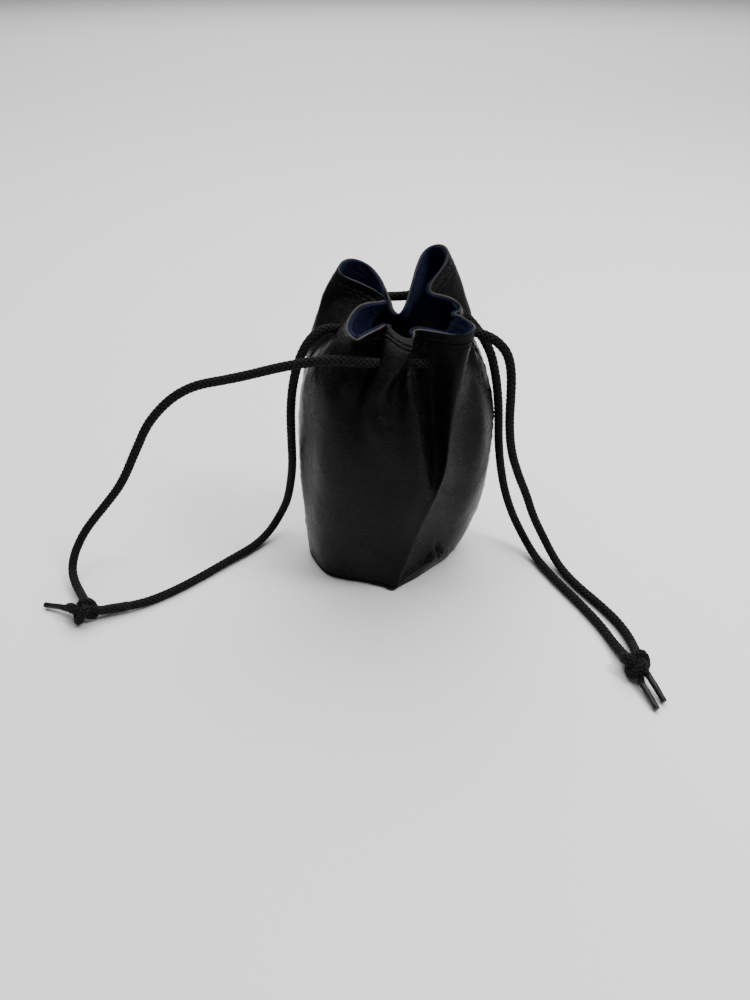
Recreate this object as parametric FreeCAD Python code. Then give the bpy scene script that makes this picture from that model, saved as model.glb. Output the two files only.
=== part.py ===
import FreeCAD, Part
import math
import os
from FreeCAD import Vector as V

# Drawstring treat pouch.  Millimetres, +Z up, origin at the centre of the base
# on the surface it stands on.  +X is the pouch's right, -Y its front.

# ---------------------------------------------------------------- dimensions
SKIN = 0.9            # leatherette
FELT = 0.8            # felt lining
PLY_GAP = 0.1        # air between leatherette and lining
CORD_D = 3.8          # braided drawstring, round
HOLE_CLEARANCE = 0.3  # play round a cord in its hole
NECK_Z = 105.0        # height of the drawn-in neck on the centre line
NECK_TILT = 15.0      # the neck leans down to the front, degrees
RING_A, RING_B = 17.5, 13.0   # cord ring at the neck, half axes
CORD_PITCH = 2.05     # each cord's distance from the neck plane
LIP_START = 4.35      # the lips begin this far above the neck plane
HINGE_FRONT = (-19.7, 104.2)  # y, z of the front lip's fold line
HINGE_REAR = (19.2, 114.7)    # y, z of the rear lip's fold line
STITCH_ROWS = (3.4, 5.2)      # two rows below the rim
STITCH_D = 0.5
THREAD_PROUD = 0.35
AGLET_D = 2.2
AGLET_L = 13.5

# lobes and valleys of the gathered mouth, degrees anticlockwise from +X
LOBES = (8.0, 66.0, 136.0, 236.0, 311.0)
LOBE_SHARE = (0.55, 1.0, 1.0, 1.0, 1.0)      # how full each lobe is
VALLEYS = (37.0, 101.0, 186.0, 273.5, 339.5)

# height, half width, half depth, tilt, lobe swell, valley depth
LEVELS = (
    (0.0, 28.8, 26.2, 0.0, 0.0, 0.0),
    (2.5, 31.6, 28.4, 0.0, 0.0, 0.0),
    (8.0, 34.0, 29.9, 0.0, 0.0, 0.0),
    (18.0, 36.4, 31.2, 0.0, 0.0, 0.0),
    (38.0, 39.3, 32.2, 0.0, 0.0, 0.0),
    (58.0, 39.9, 31.8, 1.5, 0.0, 0.0),
    (74.0, 38.0, 29.6, 4.5, 0.0, 0.0),
    (86.0, 32.6, 25.0, 8.0, 1.6, 0.9),
    (94.0, 25.6, 19.2, 11.0, 4.8, 1.8),
    (100.0, 20.0, 15.0, 13.0, 7.2, 2.1),
    (105.0, 17.5, 13.0, 15.0, 8.2, 2.3),
    (110.0, 17.8, 13.2, 16.5, 8.6, 2.6),
    (115.5, 19.6, 15.0, 18.0, 8.8, 3.8),
    (121.5, 21.6, 17.0, 20.0, 9.0, 5.4),
)
POINTS = 37

# routes of the four free strands, from the neck outwards
ROUTES = {
    "left_strand_front": (
        (1.5, -13.7, 99.4), (-5.3, -19.0, 100.1), (-13.6, -21.9, 102.2),
        (-25.0, -22.6, 103.6), (-41.0, -20.4, 101.0), (-60.0, -17.8, 94.2), (-79.0, -15.9, 86.6),
        (-94.0, -14.6, 74.0), (-104.0, -13.6, 59.0), (-113.4, -12.8, 43.9),
        (-121.8, -12.2, 31.4), (-127.6, -12.0, 22.8), (-131.4, -12.1, 17.4),
        (-134.2, -13.9, 12.2), (-135.6, -17.8, 8.0), (-135.6, -23.0, 5.2),
        (-134.2, -28.8, 3.8), (-132.2, -34.8, 3.6), (-130.0, -40.8, 4.3)),
    "left_strand_rear": (
        (-21.4, 2.2, 104.3), (-26.0, 0.5, 105.7), (-30.9, -2.2, 104.9),
        (-35.6, -5.3, 100.2), (-39.4, -7.2, 91.0), (-42.0, -6.8, 77.0),
        (-43.4, -5.2, 61.0), (-44.8, -2.4, 46.0), (-46.8, 2.4, 32.0),
        (-49.0, 6.8, 21.6), (-51.6, 9.6, 15.0), (-54.6, 10.4, 9.4),
        (-58.2, 8.4, 5.0), (-62.2, 4.2, 2.6), (-66.6, -2.0, 2.0),
        (-74.2, -12.0, 2.0), (-84.0, -23.6, 2.0), (-96.4, -34.2, 2.0),
        (-108.0, -41.2, 2.4), (-120.4, -46.8, 4.2)),
    "right_strand_front": (
        (22.2, -5.9, 106.9), (26.4, -7.2, 107.6), (30.7, -9.2, 107.3),
        (34.8, -11.0, 105.4), (38.6, -12.4, 101.4), (41.0, -12.8, 95.2),
        (42.2, -12.4, 84.6), (43.6, -11.2, 71.0), (46.0, -9.6, 57.0),
        (50.4, -7.6, 44.5), (55.4, -6.0, 32.5), (60.4, -5.6, 21.0),
        (64.6, -7.2, 11.8), (68.4, -12.0, 5.0), (72.8, -19.0, 2.0),
        (78.8, -28.8, 2.0), (85.0, -40.0, 2.0), (89.4, -51.8, 2.0),
        (91.4, -62.6, 2.4), (90.8, -70.6, 4.0)),
    "right_strand_rear": (
        (16.4, 8.3, 110.0), (22.4, 6.4, 111.2), (27.4, 4.0, 111.0),
        (31.8, 1.6, 108.6), (35.2, -0.2, 104.8), (37.8, -0.9, 98.6),
        (39.6, -0.8, 91.6), (41.6, -0.4, 81.0), (43.0, 0.4, 69.0),
        (44.4, 1.6, 56.0), (46.6, 3.0, 42.0), (50.4, 3.8, 28.0),
        (54.2, 2.2, 16.0), (57.4, -2.0, 7.6), (61.4, -9.6, 2.6),
        (66.2, -20.4, 2.0), (71.6, -32.2, 2.0), (77.0, -44.2, 2.0),
        (81.4, -55.4, 2.0), (84.4, -64.6, 2.4), (86.4, -71.6, 4.0)),
}

# knots: centre, half lengths, turn about Z
KNOTS = {
    "left_knot": ((-126.8, -47.9, 5.3), (8.0, 5.4, 5.1), -20.0),
    "right_knot": ((88.4, -76.0, 5.3), (7.0, 6.2, 5.1), -60.0),
}
# aglets: start at the knot end, tip
AGLETS = {
    "left_aglet_front": ((-132.6, -44.6, 3.2), (-145.2, -40.8, 1.7)),
    "left_aglet_rear": ((-122.9, -44.7, 3.2), (-110.9, -38.75, 1.5)),
    "right_aglet_front": ((88.6, -81.4, 3.0), (92.0, -94.2, 1.5)),
    "right_aglet_rear": ((91.6, -79.4, 4.6), (95.6, -90.9, 1.5)),
}

os.makedirs("parts", exist_ok=True)
made = {}


def keep(name, shape):
    solids = [s for s in shape.Solids if s.Volume > 0.02]
    shape = solids[0] if len(solids) == 1 else Part.makeCompound(solids)
    made[name] = shape
    shape.exportStep("parts/" + name + ".step")
    b = shape.BoundBox
    print("%-28s %d solid  vol %9.1f  valid %s  x %.1f..%.1f y %.1f..%.1f z %.1f..%.1f" % (
        name, len(solids), shape.Volume, shape.isValid(),
        b.XMin, b.XMax, b.YMin, b.YMax, b.ZMin, b.ZMax))


# ---------------------------------------------------------------- the walls
def swell(angle, up, down):
    """Radial swell at an angle: up on each lobe, -down in each valley."""
    stops = sorted([(a, up * share) for a, share in zip(LOBES, LOBE_SHARE)] + [(a, -down) for a in VALLEYS])
    stops = [(stops[-1][0] - 360.0, stops[-1][1])] + stops + [(stops[0][0] + 360.0, stops[0][1])]
    for (a0, v0), (a1, v1) in zip(stops, stops[1:]):
        if a0 <= angle <= a1:
            f = (1.0 - math.cos(math.pi * (angle - a0) / (a1 - a0))) / 2.0
            return v0 + (v1 - v0) * f
    return 0.0


def level_at(w):
    """The bag's section at a height given as a place in LEVELS, smoothly between rows."""
    w = max(0.0, min(len(LEVELS) - 1.0, w))
    i = min(int(w), len(LEVELS) - 2)
    f = w - i
    row = []
    for k in range(6):
        p1, p2 = LEVELS[i][k], LEVELS[i + 1][k]
        p0 = LEVELS[i - 1][k] if i else 2 * p1 - p2
        p3 = LEVELS[i + 2][k] if i + 2 < len(LEVELS) else 2 * p2 - p1
        row.append(0.5 * (2 * p1 + (p2 - p0) * f + (2 * p0 - 5 * p1 + 4 * p2 - p3) * f * f
                          + (3 * p1 - p0 - 3 * p2 + p3) * f ** 3))
    return row


def place_of(height):
    """The place in LEVELS where the section's centre is at a height."""
    lo, hi = 0.0, len(LEVELS) - 1.0
    for _ in range(40):
        mid = (lo + hi) / 2
        lo, hi = (mid, hi) if level_at(mid)[0] < height else (lo, mid)
    return (lo + hi) / 2


def flat_point(level, angle):
    z, a, b, tilt, up, down = level
    t = math.radians(angle)
    r = a * b / math.sqrt((b * math.cos(t)) ** 2 + (a * math.sin(t)) ** 2)
    r += swell(angle % 360.0, up, down)
    return r * math.cos(t), r * math.sin(t)


def to_space(z, tilt, x, s, n=0.0):
    """A point of a tilted section plane: across, up its slope, off it."""
    c, d = math.cos(math.radians(tilt)), math.sin(math.radians(tilt))
    return V(x, s * c - n * d, z + s * d + n * c)


def wall_point(w, angle, inset):
    """A point of the wall, inset from its outer face within the section plane."""
    level = level_at(w)
    x, s = flat_point(level, angle)
    x1, s1 = flat_point(level, angle + 0.5)
    x0, s0 = flat_point(level, angle - 0.5)
    dx, ds = x1 - x0, s1 - s0
    l = math.hypot(dx, ds)
    return to_space(level[0], level[3], x - inset * ds / l, s + inset * dx / l)


def through(points):
    if len(points) == 2:
        return Part.LineSegment(points[0], points[1]).toShape()
    curve = Part.BSplineCurve()
    curve.interpolate(Points=points)
    return curve.toShape()


def ply(sections, outer, inner):
    """A solid wall between two insets; each section gives (place, angle) pairs for an inset."""
    wires = []
    for sec in sections:
        o = [wall_point(w, a, outer) for w, a in sec(outer)]
        i = [wall_point(w, a, inner) for w, a in sec(inner)]
        wires.append(Part.Wire([through(o), Part.LineSegment(o[-1], i[-1]).toShape(),
                                through(i[::-1]), Part.LineSegment(i[0], o[0]).toShape()]))
    solid = Part.makeLoft(wires, True, len(wires) == 2)
    if solid.Volume < 0:
        solid.reverse()
    return solid


def spread(start, end, n):
    return [start + (end - start) * k / (n - 1) for k in range(n)]


HALF = {"front": (180.0, 360.0), "rear": (0.0, 180.0)}
TOP = len(LEVELS) - 1.0


def on_plane(angle, point, normal, inset):
    """The place in LEVELS where the wall at an angle meets a plane."""
    lo, hi = 6.0, TOP
    for _ in range(30):
        mid = (lo + hi) / 2
        p = wall_point(mid, angle, inset) - point
        lo, hi = (mid, hi) if p.dot(normal) < 0 else (lo, mid)
    return (lo + hi) / 2


def tilted(point, tilt):
    return V(*point), V(0, -math.sin(math.radians(tilt)), math.cos(math.radians(tilt)))


above = to_space(NECK_Z, NECK_TILT, 0, 0, LIP_START)
LIP_FLOOR = tilted((above.x, above.y, above.z), NECK_TILT)


def panel_sections(half, start):
    """From the bottom up to the plane where the lips begin."""
    angles = spread(*HALF[half], POINTS)
    places = [start] + [p for p in (0.5, 1.0, 2.0, 3.0, 4.0, 5.0, 6.0,
                                    7.0, 8.0, 9.0, 10.0) if p > start + 0.3]
    out = [lambda inset, p=p: [(p, a) for a in angles] for p in places]
    out.append(lambda inset: [(on_plane(a, *LIP_FLOOR, inset), a) for a in angles])
    return out


def lip_ends(half, w):
    """First and last angle of a lip: clear of the other lip, more so further up."""
    level = level_at(w)
    gap = 0.4 + max(0.0, level[0] - above.z) * math.tan(math.radians(6.0 if half == "front" else 5.0))
    a0, a1 = HALF[half]
    return [a0 + math.degrees(math.asin(gap / (math.hypot(*flat_point(level, a0)) * math.cos(math.radians(level[3]))))),
            a1 - math.degrees(math.asin(gap / (math.hypot(*flat_point(level, a1)) * math.cos(math.radians(level[3])))))]


def lip_sections(half, bottom=None, top=TOP, rows=7):
    """From just above the fold line up to the rim; the underside opens away from the panel."""
    y, z = HINGE_FRONT if half == "front" else HINGE_REAR
    plane = tilted((0, y, z + 0.35), NECK_TILT + (6.0 if half == "front" else -5.0))
    out = []
    for f in spread(0.0, 1.0, rows):
        mid = on_plane(270.0 if half == "front" else 90.0, *plane, 0.0)
        w0 = mid + (top - mid) * f if bottom is None else bottom + (top - bottom) * f
        angles = spread(*lip_ends(half, w0), POINTS)

        def row(inset, f=f, angles=angles):
            lows = [on_plane(a, *plane, inset) if bottom is None else bottom for a in angles]
            return [(low + (top - low) * f, a) for low, a in zip(lows, angles)]

        out.append(row)
    return out


# ---------------------------------------------------------------- the cords
def cord_path(points):
    """Straight runs joined by tangent arcs, each as large as its runs allow."""
    P = [V(*p) for p in points]
    runs = [(P[i + 1] - P[i]).Length for i in range(len(P) - 1)]
    edges, radii, at = [], [], P[0]
    for i in range(1, len(P) - 1):
        a = (P[i] - P[i - 1]).normalize()
        b = (P[i + 1] - P[i]).normalize()
        turn = math.acos(max(-1.0, min(1.0, a.dot(b))))
        t = 0.45 * min(runs[i - 1], runs[i])
        r = t / math.tan(turn / 2.0)
        start, end = P[i] - a * t, P[i] + b * t
        out = (P[i] - (start + end) * 0.5).normalize()
        centre = P[i] - out * (r / math.cos(turn / 2.0))
        edges.append(Part.LineSegment(at, start).toShape())
        edges.append(Part.Arc(start, centre + out * r, end).toShape())
        radii.append(r)
        at = end
    edges.append(Part.LineSegment(at, P[-1]).toShape())
    return Part.Wire(edges), radii


def tube(points, diameter, name=None):
    path, radii = cord_path(points)
    d = V(*points[1]) - V(*points[0])
    ring = Part.Wire([Part.makeCircle(diameter / 2.0, V(*points[0]), d)])
    solid = path.makePipeShell([ring], True, False)
    if name:
        print("%s: length %.1f  section x length %.1f  volume %.1f  smallest radius %.1f" % (
            name, path.Length, math.pi * diameter ** 2 / 4 * path.Length, solid.Volume, min(radii)))
        print("   radii", [round(r, 1) for r in radii])
    return solid


def ring_point(angle, side, grow=0.0):
    """A point of a cord's ring round the neck."""
    t = math.radians(angle)
    r = RING_A * RING_B / math.sqrt((RING_B * math.cos(t)) ** 2 + (RING_A * math.sin(t)) ** 2) + grow
    p = to_space(NECK_Z, NECK_TILT, r * math.cos(t), r * math.sin(t), side * CORD_PITCH)
    return (p.x, p.y, p.z)


# the left cord is the lower ring, the right cord the upper one; each passes
# through the holes of every lobe it does not leave by
def lead_in(route, back):
    """The end of a cord at the neck: in line with its strand, a hair short of it."""
    a, b = V(*route[0]), V(*route[1])
    d = (b - a).normalize()
    return [tuple(a - d * 0.35), tuple(a - d * back)]


left_ring = lead_in(ROUTES["left_strand_front"], 4.5)
left_ring += [ring_point(a, -1.12, 0.35) for a in (308, 324, 340, 356, 372, 390, 411, 434, 458, 480, 500)]
left_ring += lead_in(ROUTES["left_strand_rear"], 4.6)[::-1]
right_ring = lead_in(ROUTES["right_strand_front"], 6.2)
right_ring += [ring_point(a, 1, 0.35) for a in (320, 301, 280, 259, 239, 220, 203, 188, 172, 157, 140, 120, 98, 77, 60)]
right_ring += lead_in(ROUTES["right_strand_rear"], 4.4)[::-1]

left_waist = tube(left_ring, CORD_D, "left_drawstring_waist")
right_waist = tube(right_ring, CORD_D, "right_drawstring_waist")
left_hole = tube(left_ring, CORD_D + 2 * HOLE_CLEARANCE)
right_hole = tube(right_ring, CORD_D + 2 * HOLE_CLEARANCE)
strands = {n: tube(p, CORD_D, n) for n, p in ROUTES.items()}
outlets = [tube(p[:4], CORD_D + 2 * HOLE_CLEARANCE + 0.1) for p in ROUTES.values()]
for p in ROUTES.values():
    d = (V(*p[1]) - V(*p[0])).normalize()
    outlets.append(Part.makeCylinder(CORD_D / 2 + HOLE_CLEARANCE + 0.05, 3.0, V(*p[0]) - d * 2.0, d))

# ---------------------------------------------------------------- leatherette
FELT_OUT, FELT_IN = SKIN + PLY_GAP, SKIN + PLY_GAP + FELT


def disc(low, high, inset):
    wires = [Part.Wire([through([wall_point(place_of(z), a, inset) for a in spread(0.0, 180.0, POINTS)]),
                        through([wall_point(place_of(z), a, inset) for a in spread(180.0, 360.0, POINTS)])])
             for z in (low, high)]
    return Part.makeLoft(wires, True, True)


def punched(wall):
    """The wall with its cord holes, and notches where the strands lie against it."""
    for hole in [left_hole, right_hole] + outlets:
        wall = wall.cut(hole)
    return wall


keep("base_panel", disc(0.0, SKIN, SKIN + 0.1))
for half in ("front", "rear"):
    wall = ply(panel_sections(half, 0.0), 0.0, SKIN)
    print(half, "wall before its holes", wall.isValid())
    keep(half + "_panel", punched(wall))
    keep(half + "_lip", ply(lip_sections(half), 0.0, SKIN))

# ---------------------------------------------------------------- felt lining
keep("base_lining", disc(SKIN + PLY_GAP, SKIN + PLY_GAP + FELT, FELT_OUT + 0.1))
for half in ("front", "rear"):
    wall = ply(panel_sections(half, place_of(SKIN + FELT + 2 * PLY_GAP)), FELT_OUT, FELT_IN)
    keep(half + "_lining", punched(wall))
    keep(half + "_lip_lining", ply(lip_sections(half), FELT_OUT, FELT_IN))

# ---------------------------------------------------------------- stitching
for half in ("front", "rear"):
    rows = []
    for depth in STITCH_ROWS:
        low, high = place_of(LEVELS[-1][0] - depth - STITCH_D), place_of(LEVELS[-1][0] - depth)
        rows.append(ply(lip_sections(half, low, high, 2), -THREAD_PROUD, -0.04))
    keep(half + "_hem_stitching", Part.makeCompound(rows))


def seam_line(angle):
    """A thread up a side seam, from above the base to below the cord holes."""
    width = 0.45
    rows = []
    for p in (1.3, 2.0, 3.0, 4.0, 5.0, 6.0, 7.0, 8.0):
        da = math.degrees(width / 2 / math.hypot(*flat_point(level_at(p), angle)))
        rows.append(lambda inset, p=p, da=da: [(p, angle - da), (p, angle + da)])
    return ply(rows, -THREAD_PROUD, -0.04)


keep("right_side_seam_stitching", seam_line(0.0))
keep("left_side_seam_stitching", seam_line(180.0))
low, high = place_of(3.0), place_of(3.0 + STITCH_D)
keep("base_seam_stitching", Part.makeCompound(
    [ply([lambda inset, w=w, h=h: [(w, a) for a in spread(*HALF[h], POINTS)] for w in (low, high)],
         -THREAD_PROUD, -0.04) for h in HALF]))

# ---------------------------------------------------------------- drawstrings
keep("left_drawstring_waist", left_waist)
keep("right_drawstring_waist", right_waist)
for n, s in strands.items():
    keep(n, s)


def knot(centre, half, turn):
    ball = Part.makeSphere(1.0)
    m = FreeCAD.Matrix()
    m.scale(V(*half))
    ball = ball.transformGeometry(m)
    ball.Placement = FreeCAD.Placement(V(*centre), FreeCAD.Rotation(V(0, 0, 1), turn))
    return ball


def aglet(start, tip):
    a, b = V(*start), V(*tip)
    d = (b - a).normalize()
    rod = Part.makeCylinder(AGLET_D / 2, AGLET_L, b - d * AGLET_L, d)
    ends = [e for e in rod.Edges if isinstance(e.Curve, Part.Circle)]
    far = max(ends, key=lambda e: (e.Curve.Center - a).Length)
    return rod.makeFillet(0.5, [far])


for n, (c, h, t) in KNOTS.items():
    keep(n, knot(c, h, t))
for n, (a, b) in AGLETS.items():
    keep(n, aglet(a, b))

print(len(made), "nodes")
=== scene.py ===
import bpy
import math
import numpy as np
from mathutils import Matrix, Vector, noise
from mathutils.bvhtree import BVHTree


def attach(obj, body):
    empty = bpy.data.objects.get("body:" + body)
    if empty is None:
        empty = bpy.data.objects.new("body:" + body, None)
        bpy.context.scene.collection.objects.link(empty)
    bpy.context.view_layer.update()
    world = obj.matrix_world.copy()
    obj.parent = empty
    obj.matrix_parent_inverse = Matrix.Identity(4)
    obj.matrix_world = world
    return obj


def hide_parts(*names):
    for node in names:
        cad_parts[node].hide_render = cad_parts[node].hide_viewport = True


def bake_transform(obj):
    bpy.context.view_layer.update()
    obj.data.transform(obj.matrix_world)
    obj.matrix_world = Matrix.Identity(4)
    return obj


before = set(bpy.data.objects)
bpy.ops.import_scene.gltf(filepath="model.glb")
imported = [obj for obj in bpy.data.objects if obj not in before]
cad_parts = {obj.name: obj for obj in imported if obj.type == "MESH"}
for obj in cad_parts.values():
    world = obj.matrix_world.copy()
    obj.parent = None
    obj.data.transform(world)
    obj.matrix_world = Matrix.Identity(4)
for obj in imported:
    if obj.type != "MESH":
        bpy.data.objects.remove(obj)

bpy.context.view_layer.update()
MM = 0.001


# ---------------------------------------------------------------- camera
cam_data = bpy.data.cameras.new("camera")
cam = bpy.data.objects.new("camera", cam_data)
bpy.context.scene.collection.objects.link(cam)
cam.location = (-0.0089, -0.2759, 0.226)
cam.rotation_euler = (math.radians(54), 0, 0)
cam_data.sensor_width = 36
cam_data.lens = 28.08
cam_data.clip_start, cam_data.clip_end = 0.01, 20
bpy.context.scene.camera = cam


# ---------------------------------------------------------------- materials
class Nodes:
    """A short way to write a node tree."""

    def __init__(self, name):
        self.m = bpy.data.materials.new(name)
        self.m.use_nodes = True
        self.t = self.m.node_tree
        self.b = self.t.nodes["Principled BSDF"]
        self.coord = self.t.nodes.new("ShaderNodeTexCoord").outputs["Object"]

    def node(self, kind, ins=(), **props):
        n = self.t.nodes.new(kind)
        for k, v in props.items():
            setattr(n, k, v)
        for key, value in dict(ins).items():
            if isinstance(value, bpy.types.NodeSocket):
                self.t.links.new(value, n.inputs[key])
            else:
                n.inputs[key].default_value = value
        return n

    def noise(self, scale, detail=2.0, rough=0.5, vector=None, distortion=0.0):
        return self.node("ShaderNodeTexNoise", {"Vector": vector or self.coord, "Scale": scale, "Detail": detail,
                                                "Roughness": rough, "Distortion": distortion}).outputs["Fac"]

    def cells(self, scale, feature="DISTANCE_TO_EDGE", vector=None):
        return self.node("ShaderNodeTexVoronoi", {"Vector": vector or self.coord, "Scale": scale}, feature=feature).outputs["Distance"]

    def ramp(self, fac, stops):
        n = self.node("ShaderNodeValToRGB", {"Fac": fac})
        r = n.color_ramp
        while len(r.elements) < len(stops):
            r.elements.new(0.5)
        for e, (p, c) in zip(r.elements, stops):
            e.position = p
            e.color = (*c, 1) if hasattr(c, "__len__") else (c, c, c, 1)
        return n.outputs["Color"]

    def math(self, op, a, b=0.0):
        return self.node("ShaderNodeMath", {0: a, 1: b}, operation=op).outputs[0]

    def map(self, x, a, b, c, d):
        return self.node("ShaderNodeMapRange", {"Value": x, "From Min": a, "From Max": b, "To Min": c, "To Max": d}).outputs["Result"]

    def bump(self, height, strength, distance, normal=None):
        ins = {"Height": height, "Strength": strength, "Distance": distance}
        if normal is not None:
            ins["Normal"] = normal
        return self.node("ShaderNodeBump", ins).outputs["Normal"]

    def scaled(self, x, y, z):
        return self.node("ShaderNodeMapping", {"Vector": self.coord, "Scale": (x, y, z)}).outputs["Vector"]

    def set(self, **values):
        for k, v in values.items():
            k = k.replace("_", " ")
            if isinstance(v, bpy.types.NodeSocket):
                self.t.links.new(v, self.b.inputs[k])
            else:
                self.b.inputs[k].default_value = v
        return self.m


def leatherette():
    n = Nodes("leatherette_black")
    fine = n.cells(2400.0)
    pores = n.map(fine, 0.0, 0.22, 0.0, 1.0)
    drag = n.noise(700.0, 3.0, 0.6, n.scaled(0.22, 0.22, 1.9))
    creases = n.noise(210.0, 4.0, 0.66, n.scaled(0.7, 0.7, 1.6))
    wear = n.noise(55.0, 4.0, 0.6)
    height = n.math("ADD", n.math("MULTIPLY", pores, 0.35), n.math("MULTIPLY", drag, 0.9))
    height = n.math("ADD", height, n.math("MULTIPLY", creases, 0.8))
    colour = n.ramp(wear, [(0.3, (0.0016, 0.0016, 0.0016)), (0.7, (0.0042, 0.0041, 0.0038))])
    rough = n.math("ADD", n.map(wear, 0.3, 0.7, 0.17, 0.27), n.math("MULTIPLY", drag, 0.10))
    return n.set(Base_Color=colour, Roughness=rough, Normal=n.bump(height, 0.75, 0.00022),
                 Specular_IOR_Level=0.08, Coat_Weight=0.02, Coat_Roughness=0.16, Coat_IOR=1.45)


def cut_edge():
    n = Nodes("cut_edge_pale")
    f = n.noise(2600.0, 3.0, 0.7)
    g = n.noise(240.0, 2.0, 0.5)
    shade = n.math("ADD", n.math("MULTIPLY", f, 0.5), n.math("MULTIPLY", g, 0.5))
    colour = n.ramp(shade, [(0.35, (0.008, 0.008, 0.0075)), (0.66, (0.036, 0.034, 0.030))])
    return n.set(Base_Color=colour, Roughness=0.9, Normal=n.bump(f, 0.8, 0.0002))


def felt():
    n = Nodes("felt_navy")
    nap = n.noise(1500.0, 5.0, 0.75)
    tuft = n.noise(420.0, 4.0, 0.7, distortion=0.6)
    patch = n.noise(90.0, 3.0, 0.55)
    mix = n.math("ADD", n.math("MULTIPLY", nap, 0.45), n.math("ADD", n.math("MULTIPLY", tuft, 0.35), n.math("MULTIPLY", patch, 0.2)))
    colour = n.ramp(mix, [(0.38, (0.0008, 0.0012, 0.0055)), (0.52, (0.0028, 0.0040, 0.0160)), (0.64, (0.013, 0.0155, 0.043))])
    bump = n.bump(nap, 0.9, 0.00035, n.bump(tuft, 0.6, 0.0006))
    return n.set(Base_Color=colour, Roughness=0.95, Normal=bump, Sheen_Weight=0.08, Sheen_Roughness=0.5,
                 Sheen_Tint=(0.3, 0.4, 0.85, 1.0), Specular_IOR_Level=0.06)


def thread():
    n = Nodes("thread_black")
    ply = n.noise(5200.0, 2.0, 0.5, n.scaled(1.0, 1.0, 2.2))
    colour = n.ramp(ply, [(0.35, (0.003, 0.003, 0.003)), (0.7, (0.018, 0.0175, 0.017))])
    return n.set(Base_Color=colour, Roughness=0.6, Normal=n.bump(ply, 0.7, 0.0001), Sheen_Weight=0.03, Specular_IOR_Level=0.2)


def braid():
    n = Nodes("braid_black")
    fibre = n.noise(4200.0, 4.0, 0.75)
    dust = n.noise(650.0, 3.0, 0.7)
    mix = n.math("ADD", n.math("MULTIPLY", fibre, 0.7), n.math("MULTIPLY", dust, 0.3))
    # painted shade: the braid is coloured lighter on the yarns' crowns and darker in the gaps between them, by how far
    # each point stands out
    painted_crown_shade = n.node("ShaderNodeAttribute", attribute_name="painted_crown_shade").outputs["Fac"]
    mix = n.math("ADD", n.math("MULTIPLY", mix, 0.6), n.map(painted_crown_shade, 0.80, 1.0, 0.0, 0.40))
    colour = n.ramp(mix, [(0.26, (0.0006, 0.0006, 0.0006)), (0.50, (0.0024, 0.0024, 0.0023)), (0.74, (0.017, 0.0165, 0.015))])
    return n.set(Base_Color=colour, Roughness=0.72, Normal=n.bump(fibre, 0.8, 0.00018), Sheen_Weight=0.015,
                 Sheen_Roughness=0.4, Specular_IOR_Level=0.12)


def aglet_film():
    n = Nodes("aglet_smoke")
    streak = n.noise(1300.0, 3.0, 0.6)
    cloud = n.noise(300.0, 3.0, 0.6)
    mix = n.math("ADD", n.math("MULTIPLY", streak, 0.4), n.math("MULTIPLY", cloud, 0.6))
    colour = n.ramp(mix, [(0.36, (0.006, 0.006, 0.0055)), (0.55, (0.018, 0.0175, 0.0155)), (0.7, (0.050, 0.049, 0.043))])
    return n.set(Base_Color=colour, Roughness=0.26, Normal=n.bump(cloud, 0.25, 0.0003), Specular_IOR_Level=0.16, Coat_Weight=0.05, Coat_Roughness=0.12)


LEATHER, EDGE, FELT, THREAD, BRAID, FILM = leatherette(), cut_edge(), felt(), thread(), braid(), aglet_film()


# ---------------------------------------------------------------- mesh helpers
def mesh_object(name, verts, faces, mats, index=None, smooth=True):
    """verts in millimetres; faces all quads or a list."""
    me = bpy.data.meshes.new(name)
    verts = np.asarray(verts, float) * MM
    if isinstance(faces, np.ndarray):
        me.vertices.add(len(verts))
        me.vertices.foreach_set("co", verts.astype(np.float32).ravel())
        k = faces.shape[1]
        me.loops.add(faces.size)
        me.loops.foreach_set("vertex_index", faces.astype(np.int32).ravel())
        me.polygons.add(len(faces))
        me.polygons.foreach_set("loop_start", np.arange(0, faces.size, k, dtype=np.int32))
        me.polygons.foreach_set("loop_total", np.full(len(faces), k, dtype=np.int32))
        me.update(calc_edges=True)
    else:
        me.from_pydata([tuple(v) for v in verts], [], faces)
    for m in mats:
        me.materials.append(m)
    if index is not None:
        me.polygons.foreach_set("material_index", np.asarray(index, np.int32))
    me.polygons.foreach_set("use_smooth", np.full(len(me.polygons), smooth))
    me.validate()
    ob = bpy.data.objects.new(name, me)
    bpy.context.scene.collection.objects.link(ob)
    return ob


def unit(a):
    return a / np.maximum(np.linalg.norm(a, axis=-1, keepdims=True), 1e-12)


def noise_at(points, scale, seed=0.0):
    return np.array([noise.noise(Vector((p[0] * scale + seed, p[1] * scale - seed, p[2] * scale + 2 * seed))) for p in points.reshape(-1, 3)]).reshape(points.shape[:-1])


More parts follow.
